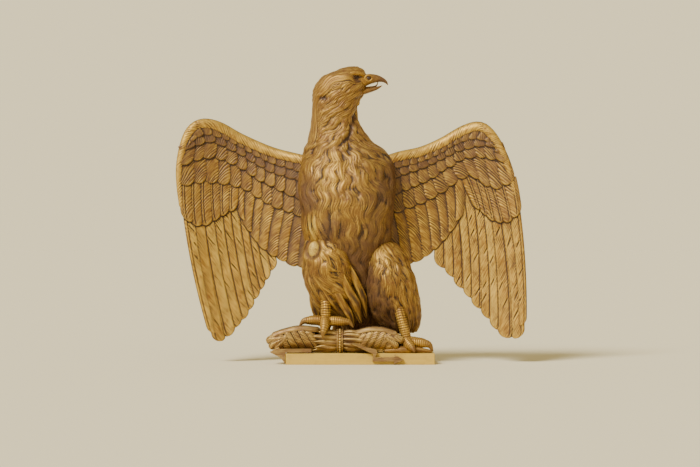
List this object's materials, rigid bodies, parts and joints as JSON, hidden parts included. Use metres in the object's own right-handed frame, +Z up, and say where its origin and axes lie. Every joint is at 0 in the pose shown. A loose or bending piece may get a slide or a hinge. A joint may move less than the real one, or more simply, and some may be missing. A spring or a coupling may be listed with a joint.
{
  "type": "eagle carving",
  "caption": "Gilded carved eagle with half-spread wings and turned head, standing on a winged thunderbolt laid on a plain block plinth.",
  "frame": {"origin": "middle of the plinth's underside", "axes": "+X to the viewer's right, the way the head looks; +Y to the back; +Z up"},
  "size_m": [0.7005, 0.1705, 0.587],
  "materials": {
    "gilding": "aged water gilding over reddish brown bole on carved wood, dark in the recesses",
    "thunderbolt_gilding": "aged water gilding, darker and browner, on carved wood",
    "plinth_paint": "flat pale ochre paint on a wooden block, slightly worn"
  },
  "bodies": {
    "root": {"eagle": "gilding", "thunderbolt": "thunderbolt_gilding", "plinth": "plinth_paint"}
  },
  "joints": []
}
